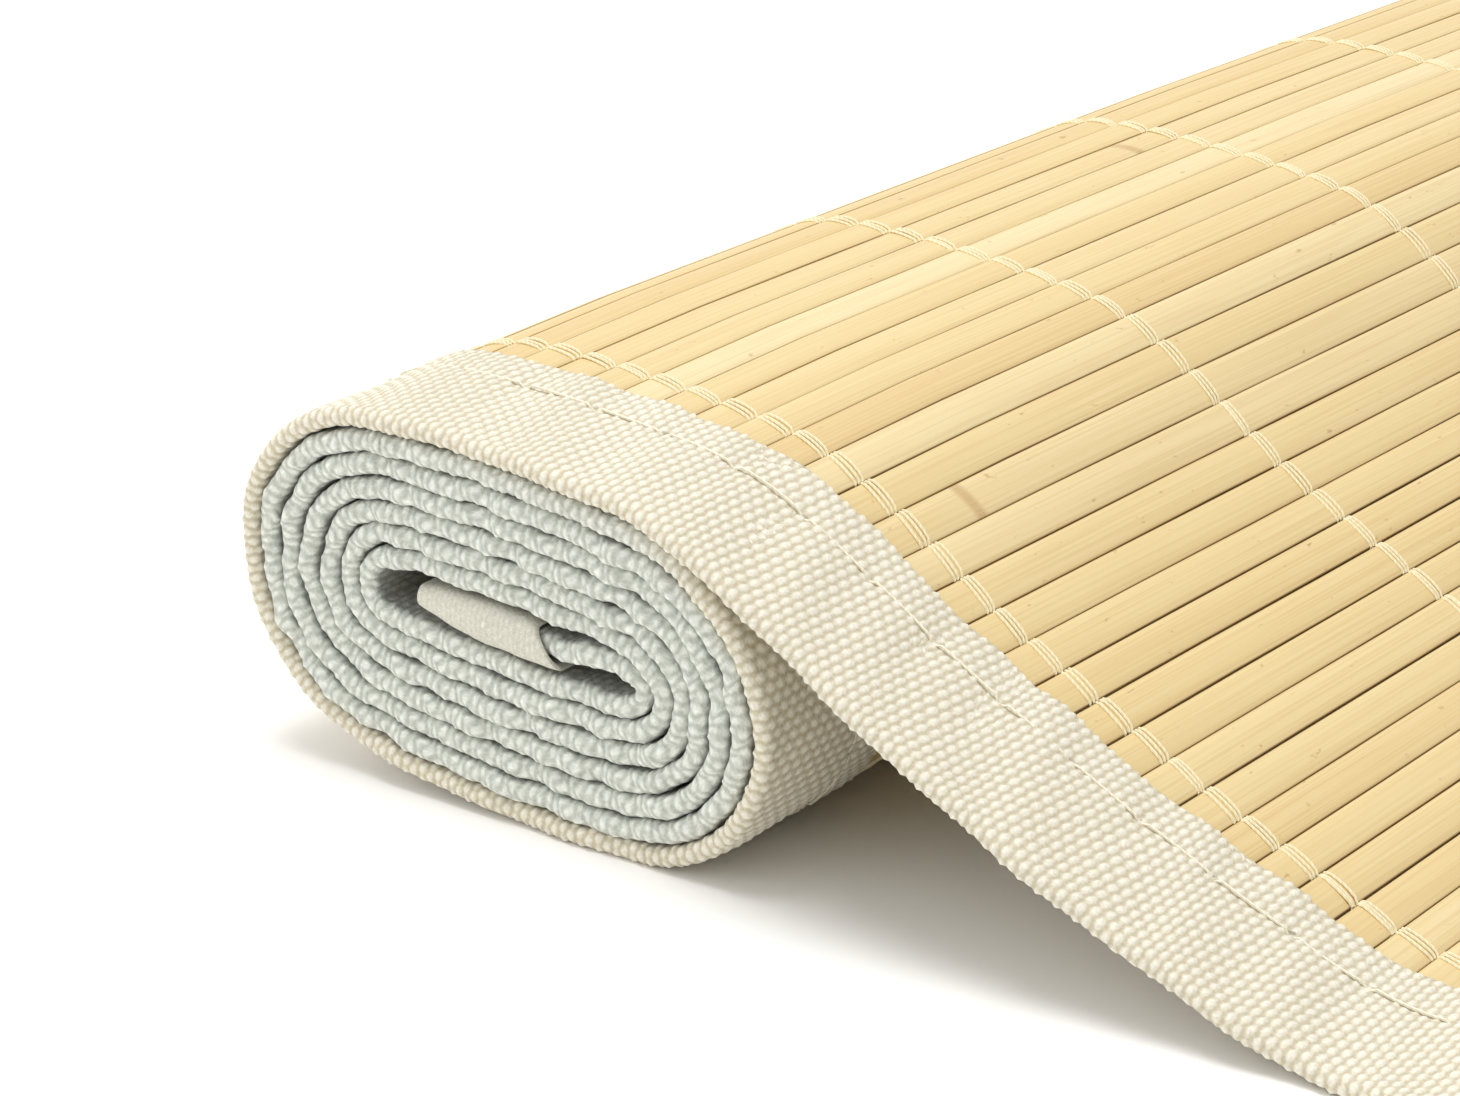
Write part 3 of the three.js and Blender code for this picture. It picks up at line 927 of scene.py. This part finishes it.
@dataclass
class BindingTape:
    """A woven tape folded in half over one long edge, with its bumps, puckers and curled tail."""

    line: MidLine
    edge: Edge
    mat_width: float = 300.0
    band: float = 23.0
    half_thickness: float = 1.12
    wall: float = 0.42
    fold_room: float = 0.45  # thickness of the fold past the wall
    lip: float = 0.16  # how far a cut edge bulges, and how much thinner it is
    lip_thinner: float = 0.1
    relief: float = 0.27
    relief_middle: float = 0.3  # share of the relief that lies under the tape's plain surface
    samples: int = 4  # mesh steps over two ribs, and over two bumps
    fold_steps: int = 9
    bump_spread: Pair = (0.22, 0.16)  # of the bumps' sizes, and more of it in the turns
    inner_turns: Pair = (0.7, 1.3)  # turns over which the tape becomes a pressed inner one
    inner_flattening: float = 0.42  # share of the relief that is pressed out of the inner turns
    inner_plumpness: float = 0.19
    stitch_from_edge: float = 6.3
    stitch_length: float = 9.7
    stitch_radius: float = 0.17
    stitch_sides: int = 5
    stitch_steps: int = 10
    stitch_uneven: float = 0.12
    stitch_dive: Pair = (0.75, 0.35)  # depth of a stitch's ends in their holes, and its reach
    hole_aside: float = -0.35  # how far the thread pulls its hole towards the fold
    furrow: Pair = (0.08, 0.9)  # depth and reach of the stitch line's furrow
    furrow_at_hole: Pair = (0.2, 0.8)
    pucker: float = 0.42  # depth that a hard-pulled stitch draws in at its hole
    pucker_reach: Pair = (2.1, 9.0)  # along the seam and across it
    pull_range: Pair = (0.1, 1.0)
    scallop: Pair = (0.5, 0.2)  # how far a stitch draws the band's edge in, less a middle value
    edge_thinner: Pair = (0.12, 3.0)  # depth and reach of the band's thinner edge
    edge_ribs: float = 0.16  # how far the ribs stand out of the band's edge
    # turns over which the folds take the painted-shade tints
    shaded_turns: Pair = (0.88, 1.02)
    crease_from: float = 0.88  # how squarely the skin faces the next turn where the painted crease shade begins
    detailed_to_turn: float = 1.02
    warp: Wave = Wave(0.2, (37, 23, 13), 12)  # how hand and needle have pulled the weave about
    cross_warp: Wave = Wave(0.2, (31, 19), 13)
    turn_warp: Wave = Wave(0.24, (5.3, 3.4), 15)  # the waves named turn are for the inner turns alone
    bump_sizes: Wave = Wave(1.0, (6.7, 4.3), 11)
    undulation: Wave = Wave(0.2, (17, 29, 11), 5)
    turn_plumpness: Wave = Wave(0.05, (3.1, 5.7), 10)
    fold_wander: Wave = Wave(0.22, (61, 23, 13), 6)
    turn_wander: Wave = Wave(0.25, (7.3, 5.1, 11.7), 8)
    turn_sway: Wave = Wave(0.13, (4.9, 7.7, 12.3, 27.0), 9)
    edge_wander: Wave = Wave(0.35, (74, 31, 15), 7)
    tail_half_height: float = 2.45
    tail_hides: float = 4.0  # of the folded tape's end inside the tail
    tail_reach: float = 1.3  # how far the tail's fold bulges out of the core
    tail_ends_at: float = 12.0  # depth at which the tail ends, out of sight
    tail_slant: float = 3.6  # how much further its lower lip reaches
    tail_weave: float = 1.5  # how much closer the selvedge's weave is than the band's
    # share of the painted-shade tints on the tail in the core
    tail_shaded_tint: float = 0.4
    # painted shade on the tail in the core, deeper on its upper and lower sides
    tail_crease: float = 0.24
    tail_wander: Wave = Wave(0.1, (9, 5), 14)
    droop_from_end: tuple = (100.0, 125.0, 151.0, 165.0, 188.0, 206.0)
    droop: tuple = (0.6, 0.7, 1.6, 1.6, 0.9, 0.0)  # how far the fold sags out of line on the slope
    far_seed: int = 40  # added to the seeds for the far edge
    pull_seed: int = 14
    stitch_seed: int = 35

    def __post_init__(self) -> None:
        """Works out where the fold lies, which way the band runs and what its seeds add."""
        self.label, self.inward = self.edge.value
        near = self.edge is Edge.NEAR
        self.fold = 0.0 if near else self.mat_width
        self.more = 0 if near else self.far_seed

    def section(self, upper: int, lower: int) -> tuple[Array, ...]:
        """Section of the outer skin, from the upper band's edge round the fold to the lower one's.

        Args:
            upper: steps across the upper band.
            lower: steps across the lower band.

        Returns:
            Height, distance from the fold, the normal's two parts, and the way round from the band's edge.
        """
        t = self.half_thickness
        run = self.band - t
        up = np.linspace(0, run, upper, endpoint=False)
        angle = np.linspace(TOP, -TOP, self.fold_steps, endpoint=False)
        down = np.linspace(0, run, lower + 1)
        off = np.concatenate([np.full(upper, t), t * np.sin(angle), np.full(lower + 1, -t)])
        depth = np.concatenate([self.band - up, t - t * np.cos(angle), t + down])
        n_off = np.concatenate([np.ones(upper), np.sin(angle), -np.ones(lower + 1)])
        n_depth = np.concatenate([np.zeros(upper), -np.cos(angle), np.zeros(lower + 1)])
        way = np.concatenate([up, run + t * (TOP - angle), run + math.pi * t + down])
        return off, depth, n_off, n_depth, way

    def woven(self, u: Array, way: Array, inner: Array) -> tuple[Array, Array, Array, Array]:
        """Works out the weave of the outer skin.

        Args:
            u: distances from the outer end.
            way: the way round from the band's edge.
            inner: how far the tape is one of the pressed inner turns.

        Returns:
            The weave's two coordinates, its ribs alone, and its lift.
        """
        weave_u = u + self.warp.at(u + 0.4 * way, self.more)
        weave_u = weave_u + inner * self.turn_warp.at(u + 1.3 * way, self.more)
        weave_way = way + self.cross_warp.at(u - 0.8 * way, self.more)
        rib = np.sin(math.pi * weave_u / RIB_PITCH)
        bump = np.cos(math.pi * weave_way / BUMP_PITCH)
        weave = RIB_SHARE * rib * rib + (1 - RIB_SHARE) * rib * bump
        least, more = self.bump_spread
        uneven = 1 + (least + more * inner) * self.bump_sizes.at(u + 2.1 * way, self.more)
        lift = self.relief * (weave - self.relief_middle) * uneven * (1 - self.inner_flattening * inner)
        return weave_u, weave_way, rib * rib, lift

    def stitched(self, u: Array) -> tuple[Array, Array]:
        """Distance along the tape to the nearest needle hole, and how hard its stitch is pulled."""
        number = np.round(u / self.stitch_length).astype(int)
        rng = np.random.default_rng(self.pull_seed + self.more)
        return u - number * self.stitch_length, rng.uniform(*self.pull_range, number.max() + 1)[number]

    def shaped(self, along: Array, base: tuple[Array, ...]) -> tuple[Array, ...]:
        """Outer skin with its weave, the stitch line's furrow and the edges' unevenness.

        Args:
            along: distances from the outer end.
            base: the plain section.

        Returns:
            Heights, distances from the fold, the weave's and the seam's coordinates, and the painted crease
            shade with each stitch's pull.
        """
        off, depth, n_off, n_depth, way = (row[None, :] for row in base)
        u = along[:, None]
        inner = smooth_step(u, *(self.line.where_turn(turn) for turn in self.inner_turns))
        weave_u, weave_way, ribs, lift = self.woven(u, way, inner)
        from_edge = self.band - depth
        from_seam = from_edge - self.stitch_from_edge
        to_hole, pull = self.stitched(u)
        # The seam draws the cloth in: a furrow along it, deeper at each hole, and puckers around the holes
        at_hole, hole_reach = self.furrow_at_hole
        furrow, furrow_reach = self.furrow
        lift = lift - bell(from_seam, furrow_reach) * (furrow + at_hole * bell(to_hole, hole_reach))
        along_seam, across_seam = self.pucker_reach
        pucker = self.pucker * (1 - inner) * pull
        lift = lift - pucker * bell(to_hole, along_seam) * bell(from_seam, across_seam)
        # The band's edge is thin, the whole tape a little wavy, and the pressed turns are plump
        thinner, reach = self.edge_thinner
        lift = lift - thinner * (1 - smooth_step(from_edge, 0, reach))
        lift = lift + self.undulation.at(u + 0.5 * way) * smooth_step(depth, 0.5, 4)
        lift = lift + inner * (self.inner_plumpness + self.turn_plumpness.at(u, self.more))
        # Neither the fold nor the band's edge runs quite straight
        fold = self.fold_wander.at(u, self.more) * (1 - smooth_step(depth, 3, 14))
        fold = fold - np.interp(u, self.droop_from_end, self.droop) * (1 - smooth_step(depth, 3, 16))
        fold = fold + inner * self.turn_wander.at(u, self.more)
        drawn, middle = self.scallop
        drawn = drawn * pull * np.cos(math.pi * to_hole / self.stitch_length) ** 2 - middle
        edge = self.edge_wander.at(u, self.more) + self.edge_ribs * ribs - drawn
        edge = edge * smooth_step(depth, self.band - 4, self.band)
        heights = off + n_off * lift + inner * self.turn_sway.at(u, self.more)
        depths = depth + n_depth * lift + fold + edge
        # Painted shade: near the fold the inner turns take the cooler, greyer tints
        grey = np.interp(u, self.line.s, smooth_step(self.line.turn, *self.shaded_turns))
        grey = grey * np.clip(1.4 - depth / 3, 0, 1)
        # Painted shade where the pressed turns face each other, carried with each stitch's pull
        crease = inner * smooth_step(np.abs(n_off), self.crease_from, 1.0)
        seam = (u, from_seam - self.hole_aside, 0.0)
        values = ((weave_u, weave_way, grey), seam, (crease, pull, 0.0))
        return heights, depths, *(np.stack(np.broadcast_arrays(*value), axis=-1) for value in values)

    def channel(self, parts: MeshParts, along: Array, base: tuple[Array, ...]) -> None:
        """Adds a stretch of the folded tape as a closed channel.

        Args:
            parts: the tape's mesh.
            along: distances from the outer end.
            base: the plain section of its outer skin.
        """
        heights, depths, weave, seam, crease = self.shaped(along, base)
        inside = self.half_thickness - self.wall
        middle = self.half_thickness - self.wall * 0.5 - self.lip_thinner
        fold = np.full(len(along), self.wall + self.fold_room)
        lower, upper = depths[:, -1], depths[:, 0]
        back_off = np.array([-middle, -inside, -inside, inside, inside, middle])
        back_depth = np.stack([lower + self.lip, lower, fold, fold, upper, upper + self.lip], axis=1)
        back_off = np.broadcast_to(back_off, back_depth.shape)
        back = np.zeros((*back_depth.shape, 3))
        back_weave, back_seam = back.copy(), back.copy()
        back_weave[..., 0] = along[:, None]
        back_weave[..., 1] = back_depth
        back_seam[..., 1] = self.band
        self.ringed(
            parts, along[:, None], np.concatenate([heights, back_off], axis=1),
            np.concatenate([depths, back_depth], axis=1),
            weave=np.concatenate([weave, back_weave], axis=1),
            seam=np.concatenate([seam, back_seam], axis=1),
            crease=np.concatenate([crease, back], axis=1),
        )

    def ringed(self, parts: MeshParts, along: Array, off: Array, depth: Array, **values: Array) -> None:
        """Adds closed rings given by their heights and distances from the fold."""
        rings = self.line.points(along, off, self.fold + self.inward * depth)
        shell(parts, rings, flip=self.inward > 0, **values)

    def tail(self, parts: MeshParts) -> None:
        """Adds the tape's tail in the core, folded back over the last slats, with its cut end standing open.

        Args:
            parts: the tape's mesh.
        """
        end = self.line.s[-1]
        along = np.linspace(end - self.line.tail_length - 1.5, end + 0.3, 60)
        share = (along - along[0]) / (along[-1] - along[0])
        half = self.tail_half_height * (0.94 + 0.1 * np.sin(math.pi * share)) * (1 - 0.45 * share ** 4)
        angle = np.linspace(TOP, -TOP, 15)
        hidden = self.tail_ends_at
        outer_off = np.concatenate([[1.0], np.sin(angle), [-1.0]])[None, :] * half[:, None]
        front = self.tail_reach - self.tail_reach * np.cos(angle) ** 0.7 - 0.6
        sunk = self.tail_wander.at(along) + 0.9 * share ** 4
        outer_depth = np.concatenate([[hidden], front, [hidden]])[None, :] + sunk[:, None]
        outer_depth[:, [0, -1]] = hidden
        inner_off = outer_off[:, ::-1] * (1 - self.wall / half)[:, None]
        inner_depth = outer_depth[:, ::-1] + self.wall
        inner_depth[:, [0, -1]] = hidden
        off = np.concatenate([outer_off, inner_off], axis=1)
        depth = np.concatenate([outer_depth, inner_depth], axis=1)
        # The cut end is slanted: its lower lip reaches further out of the core than the upper one
        lean = (1 - smooth_step(share, 0, 0.6))[:, None]
        placed = along[:, None] + self.tail_slant * (0.5 + 0.5 * off / half[:, None]) * lean
        steps = np.hypot(np.diff(outer_off[0]), np.diff(outer_depth[0]))
        way = np.concatenate([[0.0], np.cumsum(steps)])
        weave, seam, crease = np.zeros((3, *off.shape, 3))
        weave[..., 0] = placed * self.tail_weave
        weave[..., 1] = np.concatenate([way, way[::-1]]) * self.tail_weave
        # Painted shade: the tail in the core takes the cooler tints
        weave[..., 2] = self.tail_shaded_tint
        seam[..., 1] = self.band
        seam[..., 2] = 1.0
        # Painted shade darkens the tail, more towards its upper and lower lips
        crease[..., 0] = self.tail_crease * (1 + (off / half[:, None]) ** 4)
        self.ringed(parts, placed, off, depth, weave=weave, seam=seam, crease=crease)

    def build(self, material: bpy.types.Material) -> bpy.types.Object:
        """Builds the tape: fine where its face shows, its fold alone in the inner turns, and the tail.

        Args:
            material: the tape's finish.

        Returns:
            The tape's object.
        """
        parts = MeshParts()
        step, across = 2 * RIB_PITCH / self.samples, 2 * BUMP_PITCH / self.samples
        join = round(self.line.where_turn(self.detailed_to_turn) / step) * step
        last = self.line.s[-1] - self.tail_hides
        upper = round((self.band - self.half_thickness) / across)
        self.channel(parts, np.arange(0, join + step / 2, step), self.section(upper, 7))
        self.channel(parts, np.append(np.arange(join, last, step), last), self.section(2, 2))
        self.tail(parts)
        made = parts.built(f"tape_{self.label}_edge", material, sharp=80)
        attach(made, BODY)
        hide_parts(f"binding_tape_{self.label}")
        return made

    def stitching(self, material: bpy.types.Material) -> bpy.types.Object:
        """Builds the lockstitch along the band, on both faces, as one joined mesh.

        Args:
            material: the sewing thread's finish.

        Returns:
            The stitching's object.
        """
        parts = MeshParts()
        rng = np.random.default_rng(self.stitch_seed)
        share = 0.5 - 0.5 * np.cos(np.linspace(0, math.pi, self.stitch_steps + 1))
        to_end = np.minimum(share, 1 - share) * self.stitch_length
        dive, reach = self.stitch_dive
        for face in Face:
            for stitch in range(int(self.line.s[-1] // self.stitch_length)):
                top = self.half_thickness - 0.03 + self.stitch_uneven * rng.uniform(-0.3, 0.6)
                off = (top - dive * bell(to_end, reach)) * face.value
                bow = self.stitch_uneven * rng.normal() * np.sin(math.pi * share)
                y = self.fold + self.inward * (self.band - self.stitch_from_edge + bow)
                along = (stitch + share) * self.stitch_length
                thread(parts, self.line, along, off, y, self.stitch_radius, self.stitch_sides, self.inward)
        made = parts.built(f"stitching_{self.label}_edge", material)
        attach(made, BODY)
        return made


@dataclass(frozen=True)
class SoftBox:
    """A large square soft light, aimed at the middle of the floor."""

    name: str
    place: tuple[float, float, float]  # in metres
    size: float
    power: float  # in watts

    def build(self) -> None:
        """Makes the light."""
        data = bpy.data.lights.new(self.name, "AREA")
        data.size = self.size
        data.energy = self.power
        made = bpy.data.objects.new(self.name, data)
        made.location = self.place
        made.rotation_mode = "QUATERNION"
        made.rotation_quaternion = (-Vector(self.place)).to_track_quat("-Z", "Y")
        bpy.context.scene.collection.objects.link(made)


@dataclass(frozen=True)
class Studio:
    """The photograph's viewpoint, a pale floor and plain soft light."""

    heading: float = math.radians(37.5)
    pitch: float = math.radians(20.1545)
    place: tuple[float, float, float] = (0.17205, -0.44832, 0.17695)
    focal_pixels: float = 3912.5
    sensor: float = 36.0
    floor_size: float = 6.0
    floor_colour: str = "#fcfbf9"
    floor_roughness: float = 0.9
    sky_colour: str = "#ffffff"
    sky_left: float = 1.0  # strength of the sky on the side of the soft boxes
    sky_right: float = 0.44
    boxes: tuple[SoftBox, ...] = (
        SoftBox("key", place=(-0.12, -0.12, 1.4), size=0.7, power=12.3),
        SoftBox("fill", place=(-0.5, -1.4, 0.6), size=1.2, power=2.6),
    )

    def camera(self) -> None:
        """Makes the scene's camera."""
        data = bpy.data.cameras.new("camera")
        data.sensor_width = self.sensor
        data.lens = self.focal_pixels * self.sensor / IMAGE_WIDTH
        data.clip_start = 0.01
        made = bpy.data.objects.new("camera", data)
        c, s = math.cos(self.heading), math.sin(self.heading)
        forward = Vector((-s * math.cos(self.pitch), c * math.cos(self.pitch), -math.sin(self.pitch)))
        right = Vector((c, s, 0))
        turned = Matrix((right, right.cross(forward), -forward)).transposed().to_4x4()
        made.matrix_world = Matrix.Translation(self.place) @ turned
        bpy.context.scene.collection.objects.link(made)
        bpy.context.scene.camera = made

    def floor(self) -> None:
        """Makes the floor, matt white board."""
        half = self.floor_size / 2
        mesh = bpy.data.meshes.new("studio_floor")
        corners = [(-half, -half, 0), (half, -half, 0), (half, half, 0), (-half, half, 0)]
        mesh.from_pydata(corners, [], [(0, 1, 2, 3)])
        board = {"Base Color": linear(self.floor_colour), "Roughness": self.floor_roughness}
        mesh.materials.append(Shading("board_painted_matt").surface(board))
        made = bpy.data.objects.new("studio_floor", mesh)
        bpy.context.scene.collection.objects.link(made)

    def light(self) -> None:
        """Makes the sky and two large soft lights."""
        world = bpy.data.worlds.new("studio")
        world.use_nodes = True
        world.node_tree.nodes.clear()
        tree = world.node_tree
        direction = add_node(tree, "ShaderNodeTexCoord").outputs["Generated"]
        sideways = add_node(tree, "ShaderNodeSeparateXYZ", {0: direction}).outputs[0]
        strength = add_node(
            tree, "ShaderNodeMapRange", {0: sideways, 1: -1.0, 2: 1.0, 3: self.sky_left, 4: self.sky_right},
        ).outputs[0]
        sky = add_node(tree, "ShaderNodeBackground", {0: linear(self.sky_colour), 1: strength})
        add_node(tree, "ShaderNodeOutputWorld", {0: sky.outputs[0]})
        bpy.context.scene.world = world
        for box in self.boxes:
            box.build()
        bpy.context.scene.view_settings.view_transform = "Standard"


def main() -> None:
    """Builds the studio and the mat's pieces in order."""
    logging.basicConfig(level=logging.INFO, format="%(message)s")
    studio = Studio()
    studio.camera()
    line = MidLine()
    LOG.info("mid line: %.1f mm", line.length)
    bamboo = BambooFinish().made()
    cotton = TapeFinish().made()
    row_thread = ThreadFinish("cotton_thread_natural", light="#f5ebcb", groove_shade="#ecdfb8").made()
    sewing_thread = ThreadFinish("cotton_thread_pale_yellow", light="#f3eddb", groove_shade="#e9e1ca").made()
    panel = SlatPanel(line)
    slats = panel.build(bamboo)
    rows = [
        ThreadRow(line, panel, number + 1, FIRST_ROW + ROW_PITCH * number).build(row_thread)
        for number in range(ROWS)
    ]
    for edge in Edge:
        tape = BindingTape(line, edge)
        made = tape.build(cotton)
        sewn = tape.stitching(sewing_thread)
    studio.floor()
    studio.light()


if __name__ == "__main__":
    main()
